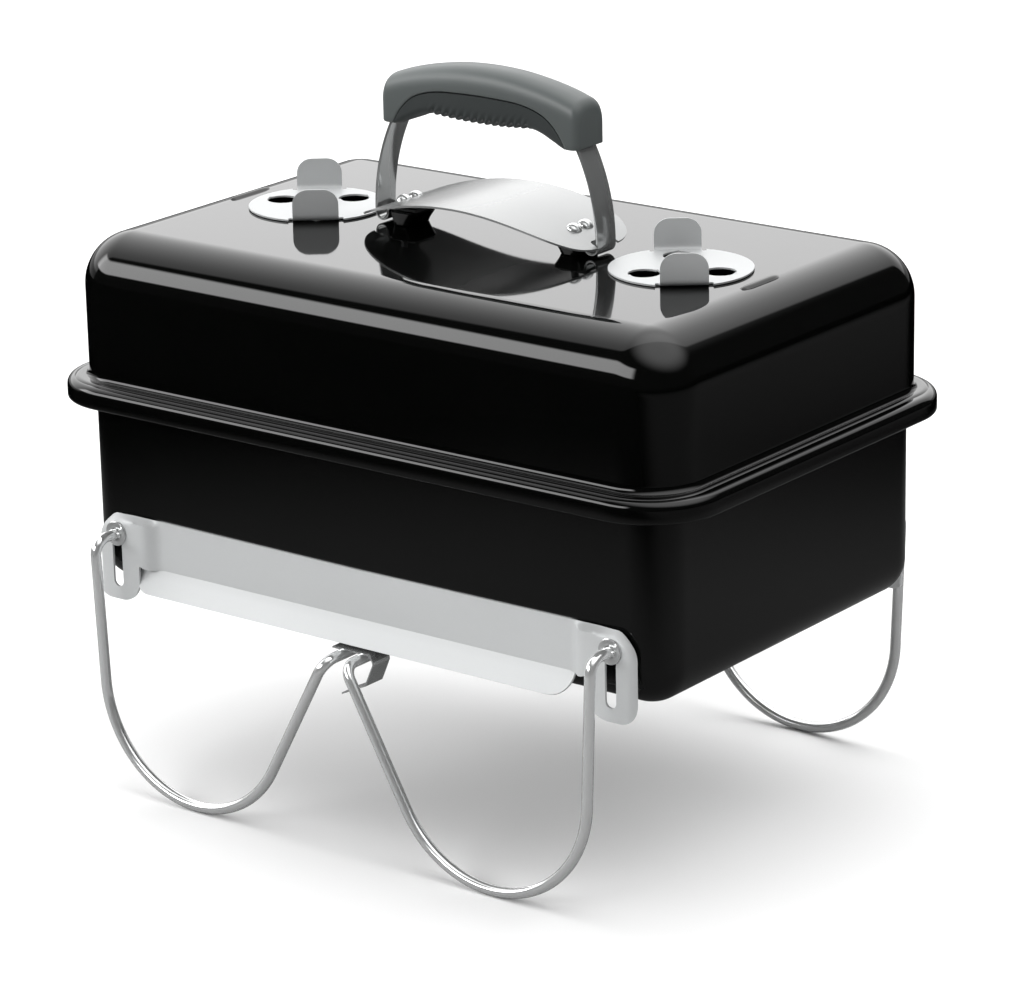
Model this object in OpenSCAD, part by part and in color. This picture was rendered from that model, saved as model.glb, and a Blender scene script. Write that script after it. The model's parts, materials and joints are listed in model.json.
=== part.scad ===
// Portable tabletop grill: rectangular lidded firebox on two folded wire legs.
// +X runs right along the long side, -Y is the front, +Z is up, Z = 0 is the table.

/* [Firebox] */
// Half length of the bowl wall
bowl_a = 209.4; // [150:0.1:300]
// Half width of the bowl wall
bowl_b = 129.8; // [90:0.1:200]
// Corner radius of the bowl wall in plan
bowl_r = 22.5; // [10:0.5:50]
// Radius between the bowl wall and its bottom
bowl_fillet = 21.5; // [5:0.5:40]
// Height of the bowl bottom over the table
bowl_z = 119; // [60:0.5:200]
// Height of the bowl flange
flange_z = 242.8; // [200:0.1:300]
// Width of the bowl flange
flange_w = 13; // [5:0.1:20]
// Sheet thickness of bowl and lid
sheet = 1.2; // [0.6:0.1:3]

/* [Lid] */
// Half length of the lid wall
lid_a = 215.6; // [150:0.1:300]
// Half width of the lid wall
lid_b = 134.4; // [90:0.1:200]
// Corner radius of the lid wall in plan
lid_r = 32; // [10:0.5:60]
// Radius between the lid wall and its top
lid_shoulder = 31; // [5:0.5:50]
// Height of the lid top
lid_top = 330; // [280:0.5:400]
// Height of the flat on the lid rim
rim_z = 244.2; // [220:0.1:300]
// Bottom of the lid rim
rim_low = 231.5; // [200:0.1:280]
// Width of the lid rim
rim_w = 13.4; // [6:0.1:20]

/* [Dampers] */
// Radius of a damper disc
damper_r = 41; // [25:0.5:60]
// Distance of a lid damper from the middle
lid_damper_x = 132; // [80:0.5:170]
// Distance of a bottom damper from the middle
low_damper_x = 112; // [60:0.5:150]
// Radius of an air hole
air_r = 9.2; // [4:0.1:14]
// Radius of the circle the air holes sit on
air_pcd_r = 24.5; // [15:0.5:32]
// Direction of the lid damper tabs
tab_turn = -52; // [-90:1:90]

/* [Handle] */
// Half length of the heat shield
shield_a = 82; // [50:0.5:110]
// Half width of the heat shield
shield_b = 39.5; // [20:0.5:60]
// Height of the heat shield at its middle
shield_top = 354.7; // [335:0.1:380]
// Radius the heat shield is bent to
shield_bend = 195.8; // [100:0.1:400]
// Height of the middle of the grip
grip_top = 430.6; // [380:0.1:470]
// Radius the top of the grip is curved to
grip_bend = 200; // [100:1:400]
// Half width of the grip
grip_b = 13.5; // [8:0.1:25]
// Half width of the handle strap
strap_b = 8.7; // [5:0.1:15]

/* [Legs] */
// Radius of the leg wire
wire_r = 3.175; // [2:0.005:6]
// Distance of a slot from the middle
slot_x = 180; // [120:0.5:200]
// Height of the wire end in its slot
slot_z = 153.8; // [120:0.1:200]
// Half width of a slot
slot_r = 3.7; // [3:0.1:6]
// Lowest place the wire end can reach in its slot
slot_low = 124.4; // [100:0.1:150]
// Plane of the leg loops
leg_y = 155.3; // [130:0.1:180]
// Middle of a foot loop
foot_x = 108.9; // [60:0.1:150]
// Radius of a foot loop
foot_r = 68; // [30:0.5:90]

/* [Hidden] */
$fn = 72;
e = 0.02;

bend = 9;
ear_y = 136.7;
ear_t = 1.5;
foot_z = wire_r + foot_r;
tongue_x = 7;
tongue_z = 114.5;
// outer straight of a loop: from under the wire end to the loop
out_z = slot_z - bend;
out_d = norm([slot_x - foot_x, out_z - foot_z]);
out_at = atan2(out_z - foot_z, slot_x - foot_x) - acos(foot_r / out_d);
// inner straight of a loop: from the loop to the bend into the tongue
in_slope = 57.6;
in_x = tongue_x + bend * cos(in_slope);
in_z = tongue_z - bend * sin(in_slope);
in_d = norm([in_x - foot_x, in_z - foot_z]);
in_at = atan2(in_z - foot_z, in_x - foot_x) + acos(foot_r / in_d);
grip_z = grip_top - grip_bend;
strap_z = 260.6;
grip_a = 71;
strap_r = 154.4;
strap_t = 1.8;
screw_x = 62;
screw_y = 5.5;

// ---- shared shapes ----

// sweeps a section round a rounded rectangle; the section's x is measured from the corner centre
module round_rect_sweep(a, b, r) {
    for (sx = [0, 1]) mirror([sx, 0, 0])
        for (sy = [0, 1]) mirror([0, sy, 0])
            translate([a - r, b - r, 0]) rotate_extrude(angle = 90) children();
    for (t = [0, 180]) rotate([0, 0, t]) {
        translate([-(a - r), b - r, 0]) rotate([90, 0, 90]) linear_extrude(2 * (a - r)) children();
        translate([a - r, b - r, 0]) rotate([90, 0, 0])
            linear_extrude(2 * (b - r)) children();
    }
}

// quarter of a ring; quadrant 0 is +x +y, then counter-clockwise
module quarter_ring(r_out, r_in, q) {
    rotate([0, 0, 90 * q]) intersection() {
        difference() {
            circle(r_out);
            circle(r_in);
        }
        square(r_out + 1);
    }
}

module rounded_box_2d(w, h, r) {
    translate([r, 0]) square([w - 2 * r, h]);
    translate([0, r]) square([w, h - 2 * r]);
    for (x = [r, w - r]) for (y = [r, h - r]) translate([x, y]) circle(r);
}

// straight wire between two points
module wire(p, q, r) {
    d = q - p;
    translate(p) rotate([0, acos(d[2] / norm(d)), atan2(d[1], d[0])]) cylinder(r = r, h = norm(d));
}

module washer(r_out, r_in, h) {
    difference() {
        cylinder(r = r_out, h = h);
        translate([0, 0, -1]) cylinder(r = r_in, h = h + 2);
    }
}

// low domed head, flat side on z = 0
module dome(r, h) {
    big = (r * r + h * h) / (2 * h);
    intersection() {
        translate([0, 0, h - big]) sphere(big);
        cylinder(r = r + 1, h = h + 1);
    }
}

module air_holes(at, h) {
    for (k = [0:2]) rotate([0, 0, at + 120 * k]) translate([air_pcd_r, 0, -h]) cylinder(r = air_r, h = 2 * h);
}

// ---- firebox ----

module bowl() color([0.06, 0.065, 0.06]) difference() {
    union() {
        translate([-(bowl_a - bowl_r), -(bowl_b - bowl_r), bowl_z])
            cube([2 * (bowl_a - bowl_r), 2 * (bowl_b - bowl_r), sheet]);
        round_rect_sweep(bowl_a, bowl_b, bowl_r) bowl_section();
    }
    for (s = [-1, 1]) translate([s * low_damper_x, 0, bowl_z]) {
        air_holes(90 - 90 * s, 10);
        translate([0, 0, -10]) cylinder(r = 2.5, h = 20);
    }
}

// wall and bottom, then the flange with its turned-down edge
module bowl_section() {
    bowl_section_low();
    translate([0, -sheet]) bowl_section_top();
}

module bowl_section_low() {
    f = bowl_fillet;
    translate([0, bowl_z]) square([bowl_r - f, sheet]);
    translate([bowl_r - f, bowl_z + f]) quarter_ring(f, f - sheet, 3);
    translate([bowl_r - sheet, bowl_z + f]) square([sheet, flange_z - sheet - 3 - bowl_z - f]);
}

module bowl_section_top() {
    translate([bowl_r + 3, flange_z - 3]) quarter_ring(3 + sheet, 3, 1);
    translate([bowl_r + 3, flange_z]) square([flange_w - 6, sheet]);
    translate([bowl_r + flange_w - 3, flange_z - 1.8]) quarter_ring(3, 1.8, 0);
    translate([bowl_r + flange_w - sheet, flange_z - 6]) square([sheet, 4.2]);
}

// left support; two ledges on a strip riveted to the short wall
module grate_support() {
    x = bowl_a - sheet;
    translate([-x, -30, 158]) cube([1.2, 60, 66]);
    translate([-x, -30, 222.8]) cube([10, 60, 1.2]);
    translate([-x, -30, 158]) cube([24, 60, 1.2]);
    for (y = [-20, 20]) translate([-x + 1.2, y, 192]) rotate([0, 90, 0]) dome(4, 1.6);
}

module left_grate_support() color([0.62, 0.63, 0.63]) grate_support();

module right_grate_support() color([0.62, 0.63, 0.63]) rotate([0, 0, 180]) grate_support();

// one bracket, front side; the other is the same part turned round
module ear_2d() {
    translate([163.5, 112.8]) rounded_box_2d(35, 52.2, 11);
    translate([163.5, 134]) square([15, 31]);
}

module bracket_outline() {
    translate([-163.5, 134]) square([327, 31]);
    ear_2d();
    mirror([1, 0]) ear_2d();
}

// bracket seen from above: plate, joggle, ear and return edge
module bracket_plan() {
    y0 = -bowl_b;
    y1 = -ear_y;
    for (s = [0, 1]) mirror([s, 0])
        polygon([[0, y0], [0, y0 - ear_t], [157, y0 - ear_t], [163, y1], [198.5, y1], [198.5, y1 + 6.2],
                 [197, y1 + 6.2], [197, y1 + ear_t], [163.7, y1 + ear_t], [157.8, y0]]);
}

module slot_cut() {
    for (z = [slot_low, slot_z]) translate([slot_x, 0, z]) rotate([90, 0, 0]) cylinder(r = slot_r, h = 200);
    translate([slot_x - slot_r, -200, slot_low]) cube([2 * slot_r, 200, slot_z - slot_low]);
}

module lip() {
    len = 15.6;
    translate([0, -bowl_b, 134.6]) rotate([-29, 0, 0]) translate([0, 0, -len])
        rotate([90, 0, 0]) linear_extrude(ear_t) difference() {
            translate([-165, 0]) square([317, len]);
            translate([-165, 0]) difference() {
                square(9);
                translate([9, 9]) circle(9);
            }
            translate([152, 0]) difference() {
                translate([-15, 0]) square(15);
                translate([-15, 15]) circle(15);
            }
        }
}

module leg_bracket() {
    difference() {
        union() {
            intersection() {
                linear_extrude(400) bracket_plan();
                rotate([90, 0, 0]) linear_extrude(200) bracket_outline();
            }
            lip();
        }
        for (s = [0, 1]) mirror([s, 0, 0]) {
            slot_cut();
            translate([159.6, -200, 130.6]) rotate([0, 45, 0]) cube([3.2, 80, 3.2]);
        }
    }
}

module front_leg_bracket() color([0.8, 0.81, 0.82]) leg_bracket();

module rear_leg_bracket() color([0.8, 0.81, 0.82]) rotate([0, 0, 180]) leg_bracket();

// ---- dampers ----

module tab(h) {
    translate([damper_r - 3, -13.5, 0.6]) rotate([90, 0, 90]) linear_extrude(1) difference() {
        translate([0, 0]) square([27, h]);
        translate([0, h - 9]) difference() {
            square(9);
            translate([9, 0]) circle(9);
        }
        translate([27, h - 9]) mirror([1, 0]) difference() {
            square(9);
            translate([9, 0]) circle(9);
        }
    }
}

// disc on z = 0 with two tabs along its x axis
module damper(h) {
    difference() {
        union() {
            cylinder(r = damper_r, h = 1);
            for (k = [0:2]) rotate([0, 0, 120 * k + 60]) translate([15, 0, 0.7]) {
                rotate([0, 90, 0]) cylinder(r = 0.8, h = 18);
                sphere(0.8);
                translate([18, 0, 0]) sphere(0.8);
            }
        }
        translate([0, 0, -1]) cylinder(r = 2.56, h = 3);
        translate([0, 0, 0]) air_holes(180, 10);
        for (s = [0, 1]) mirror([s, 0, 0]) {
            translate([damper_r - 2, -13.5, -1]) cube([5, 27, 3]);
            for (y = [-15, 15]) translate([damper_r - 3.4, y, -1]) cylinder(r = 1.5, h = 3);
        }
    }
    tab(h);
    mirror([1, 0, 0]) tab(h);
}

module damper_rivet(t) {
    translate([0, 0, 1.1]) dome(6, 2.4);
    translate([0, 0, -t - 0.4]) cylinder(r = 2.5, h = t + 1.6);
    translate([0, 0, -t - 0.4 - 1.6]) cylinder(r = 4.5, h = 1.6);
}

module left_lid_damper() color([0.82, 0.83, 0.84])
    translate([-lid_damper_x, 0, lid_top + 0.4]) rotate([0, 0, tab_turn + 180]) damper(18.6);

module right_lid_damper() color([0.82, 0.83, 0.84])
    translate([lid_damper_x, 0, lid_top + 0.4]) rotate([0, 0, tab_turn]) damper(18.6);

module left_lid_rivet() color([0.7, 0.71, 0.72]) translate([-lid_damper_x, 0, lid_top + 0.4]) damper_rivet(sheet);

module right_lid_rivet() color([0.7, 0.71, 0.72]) translate([lid_damper_x, 0, lid_top + 0.4]) damper_rivet(sheet);

module left_bottom_damper() color([0.82, 0.83, 0.84])
    translate([-low_damper_x, 0, bowl_z - 0.4]) rotate([180, 0, 0]) damper(16);

module right_bottom_damper() color([0.82, 0.83, 0.84])
    translate([low_damper_x, 0, bowl_z - 0.4]) rotate([180, 0, 180]) damper(16);

module left_bottom_rivet() color([0.7, 0.71, 0.72])
    translate([-low_damper_x, 0, bowl_z - 0.4]) rotate([180, 0, 0]) damper_rivet(sheet);

module right_bottom_rivet() color([0.7, 0.71, 0.72])
    translate([low_damper_x, 0, bowl_z - 0.4]) rotate([180, 0, 0]) damper_rivet(sheet);

// ---- grates ----

module grate(a, b, z, r_frame, r_rod, count) {
    c = 18;
    for (sx = [0, 1]) mirror([sx, 0, 0]) for (sy = [0, 1]) mirror([0, sy, 0])
        translate([a - r_frame - c, b - r_frame - c, z]) rotate_extrude(angle = 90)
            translate([c, 0]) circle(r_frame, $fn = 24);
    for (s = [-1, 1]) {
        wire([-(a - r_frame - c), s * (b - r_frame), z], [a - r_frame - c, s * (b - r_frame), z], r_frame, $fn = 24);
        wire([s * (a - r_frame), -(b - r_frame - c), z], [s * (a - r_frame), b - r_frame - c, z], r_frame, $fn = 24);
    }
    step = 2 * (a - c) / (count + 1);
    for (k = [1:count])
        wire([-(a - c) + k * step, -(b - r_frame), z + 0.4], [-(a - c) + k * step, b - r_frame, z + 0.4], r_rod, $fn = 16);
    for (y = [-b / 3, b / 3])
        wire([-(a - r_frame), y, z - r_rod], [a - r_frame, y, z - r_rod], r_rod, $fn = 16);
}

module cooking_grate() color([0.75, 0.76, 0.76]) grate(203, 125.5, 226.6, 2.5, 1.7, 23);

module charcoal_grate() color([0.45, 0.45, 0.44]) grate(190, 112, 162, 2.5, 2, 15);

// ---- legs ----

// wire of a leg between two of its joints, a little short of both
module leg_wire(p, q) {
    d = (q - p) / norm(q - p);
    wire(p + 0.3 * d, q - 0.3 * d, wire_r, $fn = 20);
}

module leg_joint(p) translate(p) sphere(wire_r + e, $fn = 20);

module leg_bend(r, angle) rotate_extrude(angle = angle) translate([r, 0]) circle(wire_r, $fn = 20);

// right half of the front leg, in the plane of the loops
module half_leg() {
    c = [foot_x, -leg_y, foot_z];
    p = [slot_x, -(leg_y - bend), slot_z];
    q = [slot_x, -leg_y, out_z];
    out = [foot_x + foot_r * cos(out_at), -leg_y, foot_z + foot_r * sin(out_at)];
    inn = [foot_x + foot_r * cos(in_at), -leg_y, foot_z + foot_r * sin(in_at)];
    top = [in_x, -leg_y, in_z];
    back = [tongue_x, -(leg_y - bend), tongue_z];
    // wire end through the slot, with its upset end and crimp
    leg_wire(p, [slot_x, -131.8, slot_z]);
    translate([slot_x, -131.6, slot_z]) rotate([90, 0, 0]) cylinder(r = 5, h = 2.1);
    translate([slot_x - 5, -139.8, slot_z - 1.6]) cube([10, 1.7, 3.2]);
    translate([slot_x, -(leg_y - bend), slot_z - bend]) rotate([0, 90, 0]) rotate([0, 0, 180])
        leg_bend(bend, 90);
    leg_wire(q, out);
    translate(c) rotate([90, 0, 0]) rotate([0, 0, in_at]) leg_bend(foot_r, 360 + out_at - in_at);
    leg_wire(inn, top);
    // bend from the loop plane back under the firebox
    translate([in_x, -(leg_y - bend), in_z]) rotate([0, in_slope - 90, 0]) rotate([0, -90, 0])
        rotate([0, 0, -90]) leg_bend(bend, 90);
    leg_wire(back, [tongue_x, -112, tongue_z]);
    for (j = [p, q, out, inn, top, back, [tongue_x, -112, tongue_z]]) leg_joint(j);
}

module leg() {
    half_leg();
    mirror([1, 0, 0]) half_leg();
    translate([0, -112, tongue_z]) leg_bend(tongue_x, 180);
}

module front_leg() color([0.85, 0.86, 0.87]) leg();

module rear_leg() color([0.85, 0.86, 0.87]) rotate([0, 0, 180]) leg();

module leg_washers() {
    for (s = [-1, 1]) for (y = [ear_y + 0.1, ear_y - ear_t - 1.3])
        translate([s * slot_x, -y, slot_z]) rotate([90, 0, 0]) washer(7.5, wire_r + 0.05, 1.2);
}

module front_leg_washers() color([0.8, 0.81, 0.82]) leg_washers();

module rear_leg_washers() color([0.8, 0.81, 0.82]) rotate([0, 0, 180]) leg_washers();

// sheet clip over the two tongue wires, rolled down at one side into a tail
module leg_clip() {
    z = tongue_z + wire_r + 0.02;
    translate([-13, -141, z]) difference() {
        cube([24, 15, 0.9]);
        translate([9, 12.5, -1]) cube([4, 5, 3]);
    }
    translate([11, -126, z - 5]) rotate([90, 0, 0]) linear_extrude(15) quarter_ring(5.9, 5, 0);
    translate([16.9, -126, z - 5]) rotate([90, 0, 0]) rotate([0, 0, 0]) linear_extrude(15)
        polygon([[-0.9, 0], [0, 0], [-6, -13.6], [-24, -22], [-24, -21], [-6.7, -12.9]]);
}

module front_leg_clip() color([0.35, 0.36, 0.36]) leg_clip();

module rear_leg_clip() color([0.35, 0.36, 0.36]) rotate([0, 0, 180]) leg_clip();

// ---- lid ----

module lid_section() {
    f = 4.5;
    s = lid_shoulder;
    rim = lid_r + rim_w;
    translate([0, lid_top - sheet]) square([lid_r - s, sheet]);
    translate([lid_r - s, lid_top - s]) quarter_ring(s, s - sheet, 0);
    translate([lid_r - sheet, rim_z + f]) square([sheet, lid_top - s - rim_z - f]);
    translate([lid_r + f, rim_z + f]) quarter_ring(f + sheet, f, 2);
    translate([lid_r + f, rim_z - sheet]) square([rim_w - f - 5, sheet]);
    translate([rim - 5, rim_z - 5]) quarter_ring(5, 5 - sheet, 0);
    translate([rim - sheet, rim_low + 1.6]) square([sheet, rim_z - 5 - rim_low - 1.6]);
    translate([rim - 1.6, rim_low + 1.6]) {
        quarter_ring(1.6, 0.4, 2);
        quarter_ring(1.6, 0.4, 3);
    }
}

module lid() color([0.06, 0.065, 0.06]) difference() {
    union() {
        translate([-(lid_a - lid_r), -(lid_b - lid_r), lid_top - sheet])
            cube([2 * (lid_a - lid_r), 2 * (lid_b - lid_r), sheet]);
        round_rect_sweep(lid_a, lid_b, lid_r) lid_section();
        // pressed beads near the ends of the top
        for (s = [-1, 1]) intersection() {
            translate([s * 185, 0, lid_top - 2.5]) {
                translate([0, -15, 0]) rotate([-90, 0, 0]) cylinder(r = 4, h = 30);
                for (y = [-15, 15]) translate([0, y, 0]) sphere(4);
            }
            translate([s * 185 - 10, -30, lid_top - 1]) cube([20, 60, 10]);
        }
    }
    for (s = [-1, 1]) {
        translate([s * lid_damper_x, 0, lid_top]) {
            air_holes(tab_turn + 90 - 90 * s + 180, 10);
            translate([0, 0, -10]) cylinder(r = 2.5, h = 20);
        }
        for (y = [-screw_y, screw_y]) translate([s * screw_x, y, lid_top - 10]) cylinder(r = 2.2, h = 20);
    }
}

module shield_plan() {
    r = 26;
    translate([-shield_a, -shield_b]) rounded_box_2d(2 * shield_a, 2 * shield_b, r);
}

module heat_shield() color([0.85, 0.86, 0.86]) difference() {
    intersection() {
        translate([0, shield_b + 1, shield_top - shield_bend]) rotate([90, 0, 0]) difference() {
            cylinder(r = shield_bend, h = 2 * shield_b + 2);
            translate([0, 0, -1]) cylinder(r = shield_bend - 1.2, h = 2 * shield_b + 4);
        }
        linear_extrude(500) shield_plan();
    }
    for (s = [-1, 1]) {
        translate([s * 81 - 6, -strap_b - 1, 300]) cube([12, 2 * strap_b + 2, 100]);
        for (y = [-screw_y, screw_y]) translate([s * screw_x, y, 300]) cylinder(r = 2.2, h = 100);
    }
}

module standoff() difference() {
    translate([0, 12, lid_top]) rotate([90, 0, 0]) linear_extrude(24)
        polygon([[54, 0], [67.5, 0], [69, 3], [69.2, 8.2], [49, 8.2], [51, 4]]);
    for (y = [-screw_y, screw_y]) translate([screw_x, y, lid_top - 1]) cylinder(r = 2.2, h = 20);
}

module right_standoff() color([0.05, 0.05, 0.05]) standoff();

module left_standoff() color([0.05, 0.05, 0.05]) mirror([1, 0, 0]) standoff();

// right half of the strap seen from the front
module strap_2d() {
    t = strap_t;
    // arch inside the grip
    x1 = 58;
    a1 = asin(x1 / strap_r);
    translate([0, strap_z]) intersection() {
        difference() {
            circle(strap_r + t / 2);
            circle(strap_r - t / 2);
        }
        rotate([0, 0, 90 - a1]) square(400);
        square(400);
    }
    translate([x1, strap_z + sqrt(strap_r * strap_r - x1 * x1)]) circle(t / 2 + e);
    // knee into the side, then the bowed side
    translate([x1, strap_z + sqrt(strap_r * strap_r - x1 * x1)]) rotate([0, 0, -a1]) translate([0, -7])
        intersection() {
            difference() {
                circle(7 + t / 2);
                circle(7 - t / 2);
            }
            rotate([0, 0, 90 - (57 - a1)]) square(20);
            square(20);
        }
    kx = x1 + 7 * (sin(57) - sin(a1));
    kz = strap_z + sqrt(strap_r * strap_r - x1 * x1) - 7 * (cos(a1) - cos(57));
    translate([kx, kz]) circle(t / 2 + e);
    side(kx, kz, t);
}

// side of the strap: bowed part, curl at the bottom and foot
module side(kx, kz, t) {
    r = 116;
    h = kz - 340;
    translate([kx - r * sin(57), kz - r * cos(57)]) intersection() {
        difference() {
            circle(r + t / 2);
            circle(r - t / 2);
        }
        rotate([0, 0, -57]) square(400);
        translate([0, r * cos(57) - h]) square(400);
    }
}

module strap_foot(x, t) {
    c = 4.2;
    translate([x, 340]) circle(t / 2 + e);
    translate([x - t / 2, 331.9 + c]) square([t, 340 - 331.9 - c]);
    translate([x - c, 331.9 + c]) {
        quarter_ring(c + t / 2, c - t / 2, 2);
        quarter_ring(c + t / 2, c - t / 2, 3);
    }
    translate([x - 2 * c - t / 2, 331.9 + c]) square([t, 339.2 - 331.9 - c - 2.5]);
    translate([x - 2 * c - 2.5, 339.2 - 2.5]) quarter_ring(2.5 + t / 2, 2.5 - t / 2, 0);
    translate([51, 339.2 - t / 2]) square([x - 2 * c - 2.5 - 51, t]);
}

module handle_strap() color([0.78, 0.79, 0.8]) difference() {
    for (s = [0, 1]) mirror([s, 0, 0]) translate([0, strap_b, 0]) rotate([90, 0, 0])
        linear_extrude(2 * strap_b) {
            strap_2d();
            strap_foot(strap_x(), strap_t);
        }
    for (s = [-1, 1]) for (y = [-screw_y, screw_y])
        translate([s * screw_x, y, 330]) cylinder(r = 2.2, h = 20);
}

// x of the strap side where it meets the curl
function strap_x() = let(
    x1 = 58,
    a1 = asin(x1 / strap_r),
    kx = x1 + 7 * (sin(57) - sin(a1)),
    kz = strap_z + sqrt(strap_r * strap_r - x1 * x1) - 7 * (cos(a1) - cos(57)),
    h = kz - 340,
    r = 116
) kx - r * sin(57) + sqrt(r * r - pow(r * cos(57) - h, 2));

// bar along the grip, curved in its length and rounded across it
module grip_bar(mid, r_top, r_low, round) {
    translate([0, 0, mid]) rotate([90, 0, 0]) rotate([0, 0, 55]) rotate_extrude(angle = 70)
        intersection() {
            translate([r_low, -grip_b]) square([r_top - r_low, 2 * grip_b]);
            union() {
                translate([r_low, -grip_b]) square([r_top - r_low - round, 2 * grip_b]);
                translate([r_low, -(grip_b - round)]) square([r_top - r_low, 2 * (grip_b - round)]);
                for (y = [-(grip_b - round), grip_b - round]) translate([r_top - round, y]) circle(round);
            }
        }
}

// space below the arch of the strap, out to a given distance
module under_arch(x, y) {
    translate([0, y, 0]) rotate([90, 0, 0]) linear_extrude(2 * y) intersection() {
        translate([0, strap_z]) circle(155.6);
        translate([-x, 300]) square([2 * x, 200]);
    }
}

module handle_grip_cover() color([0.42, 0.43, 0.43]) difference() {
    intersection() {
        grip_bar(grip_z, grip_bend, 150, 9);
        translate([0, 50, 0]) rotate([90, 0, 0]) linear_extrude(100) union() {
            translate([-grip_a, 391.5]) square([2 * grip_a, 15]);
            translate([-(grip_a - 12), 391.5]) square([2 * (grip_a - 12), 60]);
            for (s = [-1, 1]) translate([s * (grip_a - 12), 406.5]) circle(12);
        }
    }
    under_arch(59, 50);
    under_arch(68.6, 9.3);
}

module handle_grip_insert() color([0.3, 0.31, 0.31]) difference() {
    intersection() {
        grip_bar(strap_z, 153.4, 100, 0.5);
        translate([0, 50, 0]) rotate([90, 0, 0]) linear_extrude(100)
            polygon([[-58.5, 391.7], [-55, 391.7], [-48, 396.6], [-40, 399], [40, 399], [48, 396.6],
                     [55, 391.7], [58.5, 391.7], [58.5, 430], [-58.5, 430]]);
    }
    for (x = [-33 : 6 : 33]) translate([x, 30, 397.6]) rotate([90, 0, 0]) cylinder(r = 2.6, h = 60, $fn = 32);
}

module handle_screws(s) {
    z = shield_top - shield_bend + sqrt(shield_bend * shield_bend - screw_x * screw_x);
    for (y = [-screw_y, screw_y]) translate([s * screw_x, y, 0]) {
        translate([0, 0, z + 0.1]) rotate([0, s * 18.5, 0]) dome(4.6, 3);
        translate([0, 0, lid_top - sheet - 6]) cylinder(r = 2.15, h = z - lid_top + sheet + 7);
    }
}

module left_handle_screws() color([0.8, 0.81, 0.82]) handle_screws(-1);

module right_handle_screws() color([0.8, 0.81, 0.82]) handle_screws(1);

module handle_nuts(s) {
    for (y = [-screw_y, screw_y]) translate([s * screw_x, y, lid_top - sheet - 4.6]) difference() {
        cylinder(r = 4.9, h = 4.5, $fn = 6);
        translate([0, 0, -1]) cylinder(r = 2.2, h = 8);
    }
}

module left_handle_nuts() color([0.7, 0.71, 0.72]) handle_nuts(-1);

module right_handle_nuts() color([0.7, 0.71, 0.72]) handle_nuts(1);

bowl();
front_leg_bracket();
rear_leg_bracket();
left_grate_support();
right_grate_support();
left_bottom_rivet();
right_bottom_rivet();
left_bottom_damper();
right_bottom_damper();
charcoal_grate();
cooking_grate();
front_leg();
rear_leg();
front_leg_clip();
rear_leg_clip();
front_leg_washers();
rear_leg_washers();
lid();
left_lid_rivet();
right_lid_rivet();
left_lid_damper();
right_lid_damper();
heat_shield();
left_standoff();
right_standoff();
handle_strap();
handle_grip_cover();
handle_grip_insert();
left_handle_screws();
right_handle_screws();
left_handle_nuts();
right_handle_nuts();
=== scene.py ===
"""Looks for the portable tabletop grill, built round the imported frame. Shapes are in millimetres until build()."""

import json
import math

import bmesh
import bpy
import numpy as np
from mathutils import Matrix, Vector
from mathutils.geometry import delaunay_2d_cdt


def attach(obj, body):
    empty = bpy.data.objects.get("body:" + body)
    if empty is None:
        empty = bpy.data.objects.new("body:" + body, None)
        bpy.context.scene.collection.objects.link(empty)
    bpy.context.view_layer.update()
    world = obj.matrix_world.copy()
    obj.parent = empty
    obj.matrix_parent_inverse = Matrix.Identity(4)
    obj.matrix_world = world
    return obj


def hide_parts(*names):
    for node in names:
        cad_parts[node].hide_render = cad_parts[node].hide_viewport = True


MM = 0.001
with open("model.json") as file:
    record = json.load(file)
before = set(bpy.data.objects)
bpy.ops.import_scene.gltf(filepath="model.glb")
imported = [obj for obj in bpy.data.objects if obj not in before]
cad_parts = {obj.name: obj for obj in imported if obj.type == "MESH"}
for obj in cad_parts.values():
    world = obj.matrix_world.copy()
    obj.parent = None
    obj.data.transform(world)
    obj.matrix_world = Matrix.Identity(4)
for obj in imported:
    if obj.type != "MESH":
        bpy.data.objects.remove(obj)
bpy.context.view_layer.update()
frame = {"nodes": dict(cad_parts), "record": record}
nodes = frame["nodes"]
scene = bpy.context.scene

# Heights and places that several pieces share, in millimetres.
LID_TOP = 330
SHEET = 1.2
LID_DAMPER_X, BOTTOM_DAMPER_X = 132, 112
HOLE_RING, HOLE_R, RIVET_HOLE_R = 24.5, 9.2, 2.5
TAB_TURN = -52
PLATE_Y = 131.3
EAR_DEPTH = 5.4
PIVOT_X, PIVOT_Z = 180, 153.8
TONGUE_X, TONGUE_Z = 7, 114.5
WIRE, LEG_Y, BEND, FOOT_R = 3.175, 155.3, 9, 68

# Brightness of each part of the studio.
REAR_LEVEL, TOP_LEVEL, STRIP_LEVEL, FILL_LEVEL = 2.35, 2.4, 6.6, 0.03


# ---------------------------------------------------------------- camera, floor and light

def make_camera():
    """The camera solved from the outlines in the photo."""
    data = bpy.data.cameras.new("camera")
    data.sensor_width = 36
    data.lens = 152.73
    data.clip_start, data.clip_end = 0.05, 50
    camera = bpy.data.objects.new("camera", data)
    right = Vector((0.79475, 0.60663, -0.01918))
    up = Vector((-0.17244, 0.25599, 0.95117))
    back = Vector((0.58192, -0.75264, 0.30806))
    turn = Matrix((right, up, back)).transposed()
    camera.matrix_world = Matrix.Translation((1.49096, -1.91621, 0.96083)) @ turn.to_4x4()
    scene.collection.objects.link(camera)
    scene.camera = camera


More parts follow.
